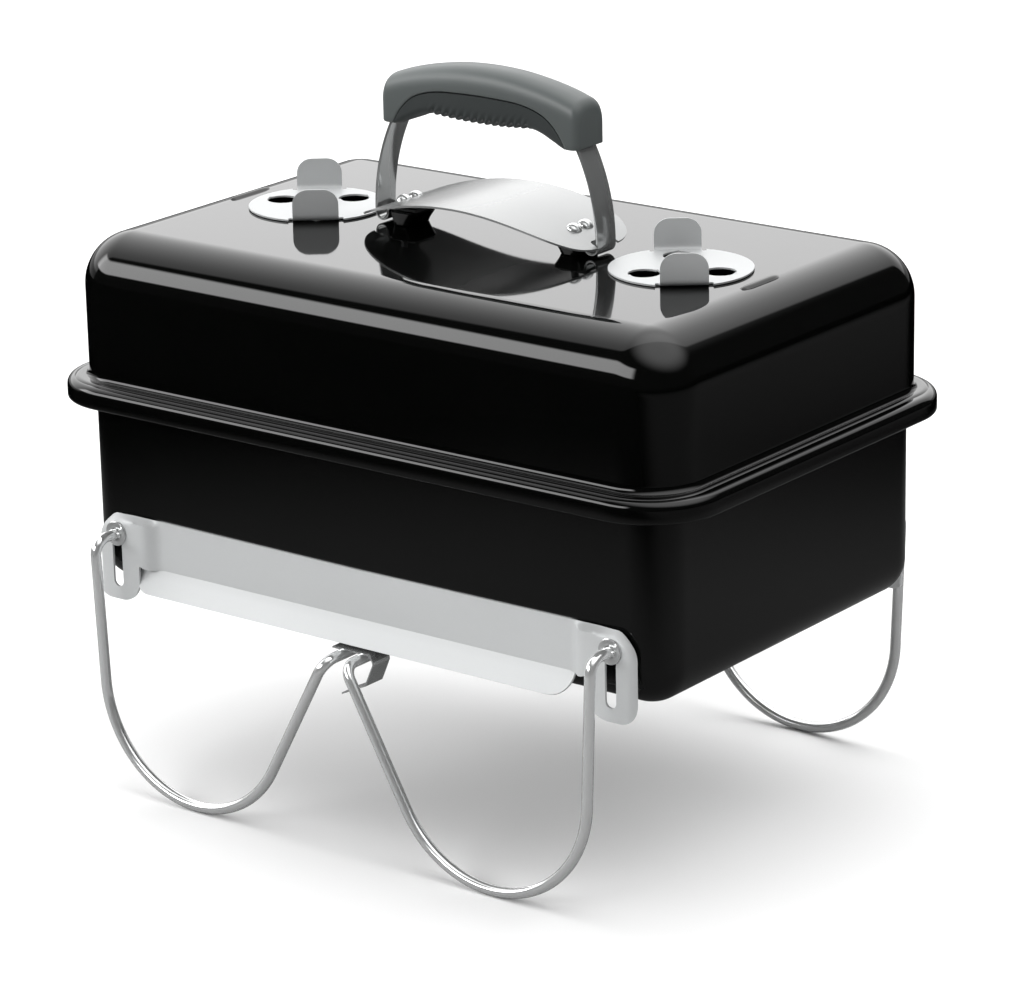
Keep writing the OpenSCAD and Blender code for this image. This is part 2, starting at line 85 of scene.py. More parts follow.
class Nodes:
    """Short calls for a node tree."""

    def __init__(self, tree):
        self.tree = tree
        tree.nodes.clear()

    def new(self, kind, values=(), **settings):
        node = self.tree.nodes.new(kind)
        for key, value in settings.items():
            setattr(node, key, value)
        for key, value in dict(values).items():
            if isinstance(value, bpy.types.NodeSocket):
                self.tree.links.new(value, node.inputs[key])
            else:
                node.inputs[key].default_value = value
        return node

    def math(self, operation, a, b):
        return self.new("ShaderNodeMath", {0: a, 1: b}, operation=operation).outputs[0]

    def dot(self, vector, direction):
        unit = Vector(direction).normalized()
        return self.new("ShaderNodeVectorMath", {0: vector, 1: unit}, operation="DOT_PRODUCT").outputs["Value"]

    def ramp(self, value, low, high, to_low=0.0, to_high=1.0):
        return self.new(
            "ShaderNodeMapRange",
            {"Value": value, "From Min": low, "From Max": high, "To Min": to_low, "To Max": to_high},
            interpolation_type="SMOOTHSTEP",
        ).outputs["Result"]

    def noise(self, vector, scale, detail=2.0, rough=0.5):
        return self.new(
            "ShaderNodeTexNoise", {"Vector": vector, "Scale": scale, "Detail": detail, "Roughness": rough}
        ).outputs["Fac"]


def direction(azimuth, elevation):
    """Unit vector; azimuth 0 is towards -Y and grows towards +X."""
    a, e = math.radians(azimuth), math.radians(elevation)
    return (math.sin(a) * math.cos(e), -math.cos(a) * math.cos(e), math.sin(e))


def make_world():
    """A dark studio with a large soft panel behind, one overhead and a strip in front; plain white to the camera."""
    world = bpy.data.worlds.new("studio")
    scene.world = world
    world.use_nodes = True
    n = Nodes(world.node_tree)
    way = n.new("ShaderNodeTexCoord").outputs["Generated"]
    way = n.new("ShaderNodeVectorMath", {0: way}, operation="NORMALIZE").outputs["Vector"]
    rear = n.dot(way, direction(-131.3, 20.9))
    rear_level = n.ramp(rear, 0.45, 1.0, 1.0, REAR_LEVEL)
    rear_mask = n.ramp(rear, 0.46, 0.51)
    height = n.new("ShaderNodeSeparateXYZ", {0: way}).outputs["Z"]
    rear_light = n.math("MULTIPLY", n.math("MULTIPLY", rear_mask, rear_level), n.ramp(height, 0.13, 0.20, 0.25, 1.0))
    top = n.dot(way, direction(110, 72))
    top_light = n.ramp(top, 0.62, 0.98, 0.0, TOP_LEVEL)
    flat = n.new("ShaderNodeVectorMath", {0: way, 1: (1, 1, 0)}, operation="MULTIPLY").outputs["Vector"]
    flat = n.new("ShaderNodeVectorMath", {0: flat}, operation="NORMALIZE").outputs["Vector"]
    side = n.dot(flat, direction(-38, 0))
    strip = n.math("MULTIPLY", n.ramp(height, 0.27, 0.31), n.ramp(height, 0.57, 0.62, 1.0, 0.0))
    strip = n.math("MULTIPLY", strip, n.ramp(side, 0.72, 0.86, 0.0, STRIP_LEVEL))
    total = n.math("ADD", n.math("ADD", rear_light, top_light), strip)
    total = n.math("ADD", total, FILL_LEVEL)
    path = n.new("ShaderNodeLightPath").outputs["Is Camera Ray"]
    level = n.new("ShaderNodeMix", {"Factor": path, "A": total, "B": 1.0}).outputs["Result"]
    shader = n.new("ShaderNodeBackground", {"Color": (1, 1, 1, 1), "Strength": level})
    n.new("ShaderNodeOutputWorld", {"Surface": shader.outputs[0]})


def make_floor():
    """Pale floor. Gloss sees it darker, as a table inside a dark studio: to glossy rays it has a painted pool of
    light round the grill that ends within about a metre, and a painted lighter patch to the right.
    """
    mesh = bpy.data.meshes.new("floor")
    bm = bmesh.new()
    bmesh.ops.create_circle(bm, cap_ends=True, radius=14, segments=96)
    bm.to_mesh(mesh)
    bm.free()
    floor = bpy.data.objects.new("floor", mesh)
    scene.collection.objects.link(floor)
    material = bpy.data.materials.new("floor")
    material.use_nodes = True
    n = Nodes(material.node_tree)
    place = n.new("ShaderNodeTexCoord").outputs["Object"]
    distance = n.new("ShaderNodeVectorMath", {0: place}, operation="LENGTH").outputs["Value"]
    grain = n.noise(place, 900, 3)
    pale = n.new("ShaderNodeMapRange", {"Value": grain, "To Min": 0.80, "To Max": 0.84}).outputs["Result"]
    # Painted pool of light, seen only in reflections: lighter round the grill, none beyond about a metre.
    painted_floor_light = n.ramp(distance, 0.55, 0.95, 0.13, 0.0)
    # Painted lighter patch to the right, seen only in reflections.
    right = n.ramp(n.new("ShaderNodeSeparateXYZ", {0: place}).outputs["X"], 0.45, 0.9, 0.0, 0.08)
    painted_floor_light = n.math("ADD", painted_floor_light, n.math("MULTIPLY", right, n.ramp(distance, 1.3, 2.4, 1.0, 0.0)))
    path = n.new("ShaderNodeLightPath").outputs["Is Glossy Ray"]
    level = n.new("ShaderNodeMix", {"Factor": path, "A": pale, "B": painted_floor_light}).outputs["Result"]
    colour = n.new("ShaderNodeCombineColor", {"Red": level, "Green": level, "Blue": level}).outputs[0]
    shader = n.new("ShaderNodeBsdfDiffuse", {"Color": colour})
    n.new("ShaderNodeOutputMaterial", {"Surface": shader.outputs[0]})
    mesh.materials.append(material)


# ---------------------------------------------------------------- materials

def surface(name, colour, metallic, rough, spread=0.0, grain=(0, 0), wave=(0, 0), shade=0.0,
            ior=1.45, stretch=(1, 1, 1)):
    """Procedural finish: roughness and shade vary with noise, grain and wave are (scale, height in mm) bumps."""
    material = bpy.data.materials.new(name)
    material.use_nodes = True
    n = Nodes(material.node_tree)
    place = n.new("ShaderNodeTexCoord").outputs["Object"]
    place = n.new("ShaderNodeMapping", {"Vector": place, "Scale": stretch}).outputs[0]
    broad = n.noise(place, 18, 4, 0.6)
    fine = n.noise(place, max(grain[0], 400), 3, 0.6)
    mixed = n.math("ADD", n.math("MULTIPLY", broad, 0.6), n.math("MULTIPLY", fine, 0.4))
    roughness = n.new(
        "ShaderNodeMapRange",
        {"Value": mixed, "From Min": 0.3, "From Max": 0.7, "To Min": rough - spread, "To Max": rough + spread},
    ).outputs["Result"]
    tint = n.new(
        "ShaderNodeMapRange",
        {"Value": mixed, "From Min": 0.3, "From Max": 0.7, "To Min": 1 - shade, "To Max": 1 + shade},
    ).outputs["Result"]
    tone = n.new("ShaderNodeVectorMath", {0: colour, "Scale": tint}, operation="SCALE").outputs["Vector"]
    shader = n.new(
        "ShaderNodeBsdfPrincipled",
        {"Base Color": tone, "Metallic": metallic, "Roughness": roughness, "IOR": ior},
    )
    normal = None
    for scale, height in (wave, grain):
        if height:
            values = {"Height": n.noise(place, scale, 3), "Strength": 1.0, "Distance": height * MM}
            if normal:
                values["Normal"] = normal
            normal = n.new("ShaderNodeBump", values).outputs["Normal"]
    if normal:
        n.tree.links.new(normal, shader.inputs["Normal"])
    n.new("ShaderNodeOutputMaterial", {"Surface": shader.outputs[0]})
    return material


FINISH = {
    "black_enamel": surface("black_enamel", (0.0012, 0.0013, 0.0012), 0, 0.045, 0.012, (700, 0.0006), (14, 0.02),
                            0.2, ior=1.42),
    "satin_aluminium": surface("satin_aluminium", (0.465, 0.475, 0.478), 0.16, 0.48, 0.06, (1400, 0.004), (30, 0.01),
                               0.03, stretch=(0.35, 1, 1)),
    "plated_wire": surface("plated_wire", (0.82, 0.83, 0.83), 0.72, 0.06, 0.02, (900, 0.0005), (60, 0.0008), 0.02),
    "polished_sheet": surface("polished_sheet", (0.31, 0.315, 0.315), 0.55, 0.22, 0.05, (1100, 0.002), (24, 0.01),
                              0.02, stretch=(0.3, 1, 1)),
    "strap_steel": surface("strap_steel", (0.42, 0.428, 0.428), 0.72, 0.15, 0.04, (1000, 0.002), (40, 0.006), 0.03),
    "grip_cover": surface("grip_cover", (0.080, 0.090, 0.089), 0, 0.42, 0.05, (1800, 0.012), (40, 0.01), 0.04),
    "grip_insert": surface("grip_insert", (0.032, 0.037, 0.037), 0, 0.45, 0.05, (1800, 0.014), (40, 0.01), 0.05),
    "clip_steel": surface("clip_steel", (0.60, 0.61, 0.61), 0.8, 0.13, 0.06, (900, 0.003), (50, 0.01), 0.08),
    "fasteners": surface("fasteners", (0.62, 0.63, 0.63), 0.7, 0.14, 0.05, (1000, 0.003), (60, 0.004), 0.04),
    "standoff_black": surface("standoff_black", (0.006, 0.0065, 0.006), 0, 0.16, 0.04, (900, 0.004), (60, 0.01), 0.1),
    "grate_wire": surface("grate_wire", (0.66, 0.67, 0.67), 1, 0.16, 0.05, (900, 0.003), (60, 0.006), 0.05),
    "grate_steel": surface("grate_steel", (0.33, 0.33, 0.32), 1, 0.34, 0.08, (900, 0.006), (60, 0.01), 0.12),
    "support_steel": surface("support_steel", (0.55, 0.56, 0.56), 1, 0.32, 0.08, (900, 0.004), (40, 0.01), 0.08),
}
slots = {part["node"]: part["material_slot"] for part in frame["record"]["subparts"]}
for name, node in nodes.items():
    node.data.materials.clear()
    node.data.materials.append(FINISH[slots[name]])

# ---------------------------------------------------------------- mesh building

def build(name, verts, faces, body, slot, stands_for=(), sharp=35, thickness=0.0, clean=0.01):
    """Mesh piece from points in millimetres; thickness adds a wall behind the surface."""
    bm = bmesh.new()
    made = [bm.verts.new(Vector(v) * MM) for v in verts]
    bm.verts.ensure_lookup_table()
    for face in faces:
        ring = [made[i] for i in face]
        if len(set(ring)) > 2:
            try:
                bm.faces.new(ring)
            except ValueError:
                pass
    bmesh.ops.remove_doubles(bm, verts=bm.verts, dist=clean * MM)
    bmesh.ops.dissolve_degenerate(bm, edges=bm.edges, dist=1e-6)
    mesh = bpy.data.meshes.new(name)
    bm.to_mesh(mesh)
    bm.free()
    mesh.shade_smooth()
    mesh.set_sharp_from_angle(angle=math.radians(sharp))
    piece = bpy.data.objects.new(name, mesh)
    scene.collection.objects.link(piece)
    mesh.materials.append(FINISH[slot])
    if thickness:
        wall = piece.modifiers.new("wall", "SOLIDIFY")
        wall.thickness = thickness * MM
        wall.offset = -1
        wall.use_even_offset = True
        wall.use_quality_normals = True
        solid = bpy.data.meshes.new_from_object(piece.evaluated_get(bpy.context.evaluated_depsgraph_get()))
        piece.modifiers.clear()
        piece.data = solid
        solid.shade_smooth()
        solid.set_sharp_from_angle(angle=math.radians(sharp))
    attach(piece, body)
    if stands_for:
        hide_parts(*stands_for)
    return piece


def turn_about_z(verts, degrees):
    """The same points turned about the grill's upright axis."""
    c, s = math.cos(math.radians(degrees)), math.sin(math.radians(degrees))
    return [(c * x - s * y, s * x + c * y, z) for x, y, z in verts]


def join(parts):
    """Several (verts, faces) as one."""
    verts, faces = [], []
    for part_verts, part_faces in parts:
        faces += [tuple(i + len(verts) for i in face) for face in part_faces]
        verts += list(part_verts)
    return verts, faces


def skin(rings, closed=True, caps=False, ring_closed=True):
    """Quads between rings of equal length."""
    size = len(rings[0])
    verts = [p for ring in rings for p in ring]
    faces = []
    for i in range(len(rings) if closed else len(rings) - 1):
        j = (i + 1) % len(rings)
        for k in range(size if ring_closed else size - 1):
            m = (k + 1) % size
            faces.append((i * size + k, i * size + m, j * size + m, j * size + k))
    if caps:
        faces.append(tuple(range(size))[::-1])
        faces.append(tuple((len(rings) - 1) * size + k for k in range(size)))
    return verts, faces


def arc(cx, cy, r, start, end, count):
    """Points of an arc in a plane, ends included."""
    return [
        (cx + r * math.cos(math.radians(t)), cy + r * math.sin(math.radians(t)))
        for t in np.linspace(start, end, count + 1)
    ]


def circle(cx, cy, r, count=32):
    return arc(cx, cy, r, 0, 360, count)[:-1]


def inside(x, y, ring):
    """Whether a point is inside a closed outline."""
    hit = False
    for (x0, y0), (x1, y1) in zip(ring, ring[1:] + ring[:1]):
        if (y0 > y) != (y1 > y) and x < (x1 - x0) * (y - y0) / (y1 - y0) + x0:
            hit = not hit
    return hit


def fill(outline, holes=(), step=0.0, extra=()):
    """Flat triangles inside an outline and outside its holes, with inner points every step."""
    rings = [list(outline)] + [list(h) for h in holes]
    points, edges = [], []
    for ring in rings:
        first = len(points)
        points += ring
        edges += [(first + i, first + (i + 1) % len(ring)) for i in range(len(ring))]
    points += list(extra)
    if step:
        xs, ys = [p[0] for p in outline], [p[1] for p in outline]
        centres = np.array([p for ring in rings for p in ring])
        for row, y in enumerate(np.arange(min(ys) + step / 2, max(ys), step * 0.87), 1):
            for x in np.arange(min(xs) + step / 2 + (row % 2) * step / 2, max(xs), step):
                near = np.min(np.hypot(centres[:, 0] - x, centres[:, 1] - y))
                if near > step * 0.6 and inside(x, y, rings[0]) and not any(inside(x, y, h) for h in rings[1:]):
                    points.append((x, y))
    found = delaunay_2d_cdt([Vector(p) for p in points], edges, [], 1, 1e-4)
    flat = [tuple(v) for v in found[0]]
    faces = []
    for face in found[2]:
        x = sum(flat[i][0] for i in face) / len(face)
        y = sum(flat[i][1] for i in face) / len(face)
        if inside(x, y, rings[0]) and not any(inside(x, y, h) for h in rings[1:]):
            faces.append(tuple(face))
    return flat, faces


def round_corners(points, radii, count=8):
    """Closed outline with each corner rounded."""
    out = []
    size = len(points)
    for i, (p, r) in enumerate(zip(points, radii)):
        here, before, after = Vector(p), Vector(points[i - 1]), Vector(points[(i + 1) % size])
        if r <= 0:
            out.append(tuple(here))
            continue
        a, b = (before - here).normalized(), (after - here).normalized()
        half = math.acos(max(-1, min(1, a.dot(b)))) / 2
        middle = here + (a + b).normalized() * (r / math.sin(half))
        start, end = here + a * (r / math.tan(half)), here + b * (r / math.tan(half))
        t0 = math.atan2(*(start - middle).yx)
        t1 = math.atan2(*(end - middle).yx)
        while t1 - t0 > math.pi:
            t1 -= 2 * math.pi
        while t1 - t0 < -math.pi:
            t1 += 2 * math.pi
        out += [(middle.x + r * math.cos(t), middle.y + r * math.sin(t)) for t in np.linspace(t0, t1, count + 1)]
    return out


def stepped(ring, gap):
    """The same outline with points at most about one gap apart, so that long edges can bend."""
    out = []
    for p, q in zip(ring, ring[1:] + ring[:1]):
        count = max(1, round(math.dist(p, q) / gap))
        out += [(p[0] + (q[0] - p[0]) * k / count, p[1] + (q[1] - p[1]) * k / count) for k in range(count)]
    return out


def smooth_step(value, low, high):
    t = max(0.0, min(1.0, (value - low) / (high - low)))
    return t * t * (3 - 2 * t)


def revolve(profile, count=40):
    """Closed (radius, height) profile turned about Z."""
    rings = [
        [(r * math.cos(t), r * math.sin(t), h) for r, h in profile]
        for t in np.linspace(0, 2 * math.pi, count, endpoint=False)
    ]
    return skin(rings)


def tube(path, radius, sides=20):
    """Round wire along points, with rounded ends."""
    points = [Vector(p) for p in path]
    ways = []
    for i in range(len(points)):
        a, b = points[max(i - 1, 0)], points[min(i + 1, len(points) - 1)]
        ways.append((b - a).normalized())
    side = ways[0].orthogonal().normalized()
    rings, radii, centres = [], [radius] * len(points), list(points)
    for end, sign in ((0, -1), (len(points) - 1, 1)):
        cap = [(points[end] + ways[end] * sign * radius * 0.3 * math.sin(t), radius * (0.7 + 0.3 * math.cos(t)))
               for t in np.linspace(0.3, math.pi / 2, 4)]
        middles, sizes = [c for c, _ in cap], [r for _, r in cap]
        if sign < 0:
            centres, radii, ways = middles[::-1] + centres, sizes[::-1] + radii, [ways[0]] * 4 + ways
        else:
            centres, radii, ways = centres + middles, radii + sizes, ways + [ways[-1]] * 4
    for centre, way, r in zip(centres, ways, radii):
        side = (side - way * side.dot(way)).normalized()
        other = way.cross(side)
        rings.append([
            tuple(centre + (side * math.cos(t) + other * math.sin(t)) * r)
            for t in np.linspace(0, 2 * math.pi, sides, endpoint=False)
        ])
    return skin(rings, closed=False, caps=True)


# ---------------------------------------------------------------- bowl and lid

def rounded_stations(a, b, r, count=16):
    """(x, y, ux, uy) round a rounded rectangle; a section's x is added along (ux, uy)."""
    out = []
    corners = [(a - r, b - r, 0), (-(a - r), b - r, 90), (-(a - r), -(b - r), 180), (a - r, -(b - r), 270)]
    for k, (cx, cy, start) in enumerate(corners):
        for t in np.linspace(start, start + 90, count + 1):
            out.append((cx, cy, math.cos(math.radians(t)), math.sin(math.radians(t))))
        nx, ny, _ = corners[(k + 1) % 4]
        way = Vector((nx - cx, ny - cy))
        t = math.radians(start + 90)
        for share in (2 / way.length, 0.2, 0.4, 0.6, 0.8, 1 - 2 / way.length):
            out.append((cx + way.x * share, cy + way.y * share, math.cos(t), math.sin(t)))
    return out


def drawn_shell(name, a, b, r, section, holes, body, slot, stands_for, flip):
    """Deep-drawn sheet: a section swept round a rounded rectangle, closed by a flat with holes at its first point."""
    stations = rounded_stations(a, b, r)
    rings = [[(x + sx * ux, y + sx * uy, sz) for sx, sz in section] for x, y, ux, uy in stations]
    verts, faces = skin(rings, ring_closed=False)
    first_x, first_z = section[0]
    edge = [(x + first_x * ux, y + first_x * uy) for x, y, ux, uy in stations]
    inner = [(x + (first_x - 1.5) * ux, y + (first_x - 1.5) * uy) for x, y, ux, uy in stations] if first_x > 2 else [
        (x * (1 - 1.5 / abs(a)), y * (1 - 1.5 / abs(b))) for x, y in edge]
    clean = []
    for p in inner:
        if not clean or (Vector(p) - Vector(clean[-1])).length > 0.05:
            clean.append(p)
    outer = []
    for p in edge:
        if not outer or (Vector(p) - Vector(outer[-1])).length > 0.0005:
            outer.append(p)
    flat, triangles = fill(outer, holes, extra=clean)
    top = [(x, y, first_z) for x, y in flat]
    if flip:
        faces = [f[::-1] for f in faces]
        triangles = [f[::-1] for f in triangles]
    verts, faces = join([(verts, faces), (top, triangles)])
    piece = build(name, verts, faces, body, slot, stands_for, sharp=40, thickness=SHEET, clean=0.02)
    return piece


def air_holes(cx, cy, turn):
    """The three round holes that a damper opens and shuts."""
    holes = []
    for third in (0, 120, 240):
        way = math.radians(turn + third)
        holes.append(circle(cx + HOLE_RING * math.cos(way), cy + HOLE_RING * math.sin(way), HOLE_R, 36))
    return holes


def lid():
    """Lid sheet and its two pressed beads. A section's x is measured outwards from the corner centres."""
    shoulder, wall, fillet, rim, rim_r, hem = 31, 32, 4.5, 45.4, 5, 1.6
    ledge, edge = 244.2, 231.5
    section = arc(wall - shoulder, LID_TOP - shoulder, shoulder, 90, 0, 20)
    section += [(wall, 297), (wall, 285), (wall, 260), (wall, ledge + fillet + 1)]
    section += arc(wall + fillet, ledge + fillet, fillet, 180, 270, 8)
    section += [(wall + fillet + 1, ledge)] + arc(rim - rim_r, ledge - rim_r, rim_r, 90, 0, 10)
    section += [(rim, 236)] + arc(rim - hem, edge + hem, hem, 0, -180, 10) + [(rim - 2 * hem, 234.4)]
    holes = []
    for side in (-1, 1):
        holes += air_holes(side * LID_DAMPER_X, 0, TAB_TURN + 90 - 90 * side + 180)
        holes.append(circle(side * LID_DAMPER_X, 0, RIVET_HOLE_R, 12))
    piece = drawn_shell("lid_shell", 215.6, 134.4, 32, section, holes, "lid", "black_enamel", ("lid",), False)
    bead_x, bead_y, bead_w, bead_h = 185, 17.5, 3.2, 1.5
    beads = []
    for side in (-1, 1):
        rings = []
        for t in np.linspace(-1, 1, 33):
            taper = math.sqrt(max(0.0, 1 - abs(t) ** 6))
            ring = []
            for c in np.linspace(-1, 1, 15):
                rise = bead_h * taper * (1 - c * c) ** 1.3
                ring.append((side * bead_x + (bead_w * taper + 0.05) * c, bead_y * t, LID_TOP - 0.02 + rise))
            rings.append(ring)
        beads.append(skin(rings, closed=False, ring_closed=False))
    verts, faces = join(beads)
    bead = build("lid_beads", verts, faces, "lid", "black_enamel", sharp=60)
    return piece, bead


def bowl():
    """Bowl sheet: flat bottom, rounded edge, upright wall and a rolled rim."""
    round_r, wall, low, rim_r, rim_z = 21.5, 22.5, 119, 3, 240.8
    section = arc(wall - round_r, low + round_r, round_r, -90, 0, 18)
    section += [(wall, 145), (wall, 180), (wall, 215), (wall, 237.5)]
    section += arc(wall + rim_r, rim_z, rim_r, 180, 90, 6)
    section += [(wall + 4.5, rim_z + rim_r), (wall + 8.5, rim_z + rim_r)]
    section += arc(wall + 10, rim_z, rim_r, 90, 0, 6) + [(wall + 13, 237)]
    holes = []
    for side in (-1, 1):
        holes += air_holes(side * BOTTOM_DAMPER_X, 0, 90 - 90 * side)
        holes.append(circle(side * BOTTOM_DAMPER_X, 0, RIVET_HOLE_R, 12))
    drawn_shell("bowl_shell", 209.4, 129.8, 22.5, section, holes, "firebox", "black_enamel", ("bowl",), True)


# ---------------------------------------------------------------- dampers

def damper(name, cx, z, turn, height, down, body, node):
    """Disc with three holes and two bent-up tabs, blanked from one sheet with pressed ribs between the holes."""
    u0, bend, disc_r, tab_w, slit = 36.4, 2.2, 41, 13.5, 16.2
    tab_end = u0 + bend * math.pi / 2 + (height - 0.5 - bend)
    side_arc = math.degrees(math.asin(slit / disc_r))
    outline = []
    for end in (1, -1):
        tip = round_corners([(u0, -tab_w), (tab_end, -tab_w), (tab_end, tab_w), (u0, tab_w)], (0, 9, 9, 0), 10)
        part = [(34.8, -slit), (34.2, -14.9), (34.8, -tab_w)] + tip[1:-1]
        part += [(34.8, tab_w), (34.2, 14.9), (34.8, slit)]
        part += arc(0, 0, disc_r, side_arc, 180 - side_arc, 44)
        outline += [(end * x, end * y) for x, y in part]
    holes = air_holes(0, 0, 180)
    flat, faces = fill(stepped(outline, 1.5), holes, step=1.9)

    def lift(u, v):
        """From the flat blank to the pressed and bent sheet."""
        ribs = 0.0
        for k in (60, 180, 300):
            a = math.radians(k)
            along, across = u * math.cos(a) + v * math.sin(a), -u * math.sin(a) + v * math.cos(a)
            ends = smooth_step(along, 12.5, 15) * (1 - smooth_step(along, 33, 35.5))
            ribs += 0.75 * ends * math.exp(-((across / 1.5) ** 2))
        r = math.hypot(u, v)
        dish = 0.5 * (1 - smooth_step(r, 7.5, 10.5))
        sign = 1 if u > 0 else -1
        s = abs(u) - u0
        if s <= 0 or abs(v) > tab_w + 0.1:
            return u, v, 1 + ribs + dish
        if s < bend * math.pi / 2:
            t = s / bend
            return sign * (u0 + bend * math.sin(t)), v, 1 + bend * (1 - math.cos(t))
        return sign * (u0 + bend), v, 1 + bend + s - bend * math.pi / 2

    verts = [lift(u, v) for u, v in flat]
    if down:
        verts = [(x, -y, -h) for x, y, h in verts]
    c, s = math.cos(math.radians(turn)), math.sin(math.radians(turn))
    verts = [(cx + c * x - s * y, s * x + c * y, z + h) for x, y, h in verts]
    build(name, verts, faces, body, "satin_aluminium", (node,), sharp=50, thickness=1.0)


# ---------------------------------------------------------------- handle

def standoff(side, name):
    """Black spacer, wider at the top, with rounded corners; two screws pass through it."""
    stages = (
        (0, 54.6, 67.2, 10.6, 4.2), (0.5, 54, 67.6, 11.2, 4.8), (2.2, 53.2, 68, 11.4, 5),
        (4.4, 51.6, 68.6, 11.6, 5.2), (6.6, 49.9, 69, 11.9, 5.4), (7.8, 49.3, 69.2, 12, 5.4),
        (8.2, 49.7, 68.8, 11.6, 5),
    )
    rings = []
    for z, x0, x1, y, r in stages:
        corners = [(x0, -y), (x1, -y), (x1, y), (x0, y)]
        rings.append([(px, py, LID_TOP + 0.02 + z) for px, py in round_corners(corners, (r, r, r, r), 8)])
    verts, faces = skin(rings, closed=False, caps=True)
    if side < 0:
        verts, faces = [(-x, y, z) for x, y, z in verts], [f[::-1] for f in faces]
    build(name + "_block", verts, faces, "lid", "standoff_black", (name,), sharp=40)


def heat_shield():
    """Thin sheet bent to an arch, notched at both ends where the strap comes down."""
    a, b, n, notch_x, notch_y = 82, 39.5, 3.4, 75.4, 9.6
    outline = []
    for t in np.linspace(0, 2 * math.pi, 160, endpoint=False):
        c, s = math.cos(t), math.sin(t)
        outline.append((a * math.copysign(abs(c) ** (2 / n), c), b * math.copysign(abs(s) ** (2 / n), s)))
    corners = [(90, -notch_y), (notch_x, -notch_y), (notch_x, notch_y), (90, notch_y)]
    notch = round_corners(corners, (0, 2.5, 2.5, 0), 5)
    curve = sorted((p for p in outline if p[0] > 0 and p[1] > notch_y), key=lambda p: math.atan2(p[1], p[0]))
    quarter = [(a * (1 - (notch_y / b) ** n) ** (1 / n), notch_y)] + curve
    half = quarter + [(-x, y) for x, y in quarter[::-1]]
    mirror = [(-x, -y) for x, y in half]
    inner_right = [p for p in notch if p[0] < 89]
    inner_left = [(-x, -y) for x, y in inner_right]
    ring = half + inner_left + mirror + inner_right
    clean = [ring[0]]
    for p in ring[1:]:
        if math.dist(p, clean[-1]) > 0.05:
            clean.append(p)
    flat, faces = fill(stepped(clean, 2.3), (), step=2.3)
    r, mid = 195.8, 354.7 - 195.8

    def lift(x, y):
        return x, y, mid + math.sqrt(r * r - x * x)

    build("heat_shield_sheet", [lift(*p) for p in flat], faces, "lid", "polished_sheet", ("heat_shield",), 40,
          thickness=1.2)


STRAP_Z, STRAP_R = 260.6, 154.4


def strap_path():
    """Middle line of the right half of the strap, from the top of the arch to the end of its foot."""
    knee_x, knee_r, knee_angle = 58, 7, 57
    leg_r, leg_end_z = 116, 340
    curl_r, curl_z, foot_r, foot_z, foot_x = 4.2, 331.9, 2.5, 339.2, 51.0
    lean = math.asin(knee_x / STRAP_R)
    path = arc(0, STRAP_Z, STRAP_R, 90, 90 - math.degrees(lean), 30)
    top = STRAP_Z + math.sqrt(STRAP_R ** 2 - knee_x ** 2)
    cx, cz = knee_x - knee_r * math.sin(lean), top - knee_r * math.cos(lean)
    path += arc(cx, cz, knee_r, 90 - math.degrees(lean), 90 - knee_angle, 8)[1:]
    kx, kz = path[-1]
    turned = math.radians(knee_angle)
    sx, sz = kx - leg_r * math.sin(turned), kz - leg_r * math.cos(turned)
    end = math.degrees(math.asin((leg_end_z - sz) / leg_r))
    path += arc(sx, sz, leg_r, 90 - knee_angle, end, 26)[1:]
    x = path[-1][0]
    path += arc(x - curl_r, curl_z + curl_r, curl_r, 0, -180, 14)
    path += arc(x - 2 * curl_r - foot_r, foot_z - foot_r, foot_r, 0, 90, 7)
    path.append((foot_x, foot_z))
    return path


def strap():
    """Flat strip with soft edges swept along the strap's middle line."""
    right = strap_path()
    path = [(-x, z) for x, z in right[::-1]] + right[1:]
    half, t, soft = 8.7, 0.9, 0.45
    section = []
    for sy, sn in ((1, 1), (-1, 1), (-1, -1), (1, -1)):
        for k in range(4):
            q = (k if sy * sn > 0 else 3 - k) * math.pi / 6
            section.append((sy * (half - soft + soft * math.cos(q)), sn * (t - soft + soft * math.sin(q))))
    rings = []
    for i, (x, z) in enumerate(path):
        x0, z0 = path[max(i - 1, 0)]
        x1, z1 = path[min(i + 1, len(path) - 1)]
        d = math.hypot(x1 - x0, z1 - z0)
        nx, nz = -(z1 - z0) / d, (x1 - x0) / d
        rings.append([(x + n * nx, y, z + n * nz) for y, n in section])
    verts, faces = skin(rings, closed=False, caps=True)
    build("handle_strip", verts, faces, "lid", "strap_steel", ("handle_strap",), sharp=50, clean=0.001)


def table(points, x):
    """Smooth curve through (x, value) points, even in x."""
    xs, vs = zip(*points)
    x = abs(x)
    i = max(0, min(len(xs) - 2, int(np.searchsorted(xs, x)) - 1))
    h = xs[i + 1] - xs[i]
    slopes = [0]
    for k in range(1, len(xs)):
        after = min(k + 1, len(xs) - 1)
        slopes.append((vs[after] - vs[k - 1]) / (xs[after] - xs[k - 1]))
    t = max(0.0, min(1.0, (x - xs[i]) / h))
    return (
        (2 * t ** 3 - 3 * t ** 2 + 1) * vs[i] + (t ** 3 - 2 * t ** 2 + t) * h * slopes[i]
        + (-2 * t ** 3 + 3 * t ** 2) * vs[i + 1] + (t ** 3 - t ** 2) * h * slopes[i + 1]
    )


# (x, z) along the right half of the grip: the line between its mouldings, its crown and its underside.
PARTING = ((0, 415.3), (15, 415.0), (28, 414.3), (38, 412.4), (47, 409.0), (54, 403.6), (59.5, 396.6), (61.8, 391.7))
GRIP_TOP = ((0, 430.6), (20, 429.7), (40, 426.8), (55, 423.4), (66, 419.9), (71, 417.8))
UNDERSIDE = ((0, 398.0), (15, 398.2), (30, 399.2), (38, 399.6), (45, 397.6), (52, 394.4), (57, 392.4), (61.8, 391.7))


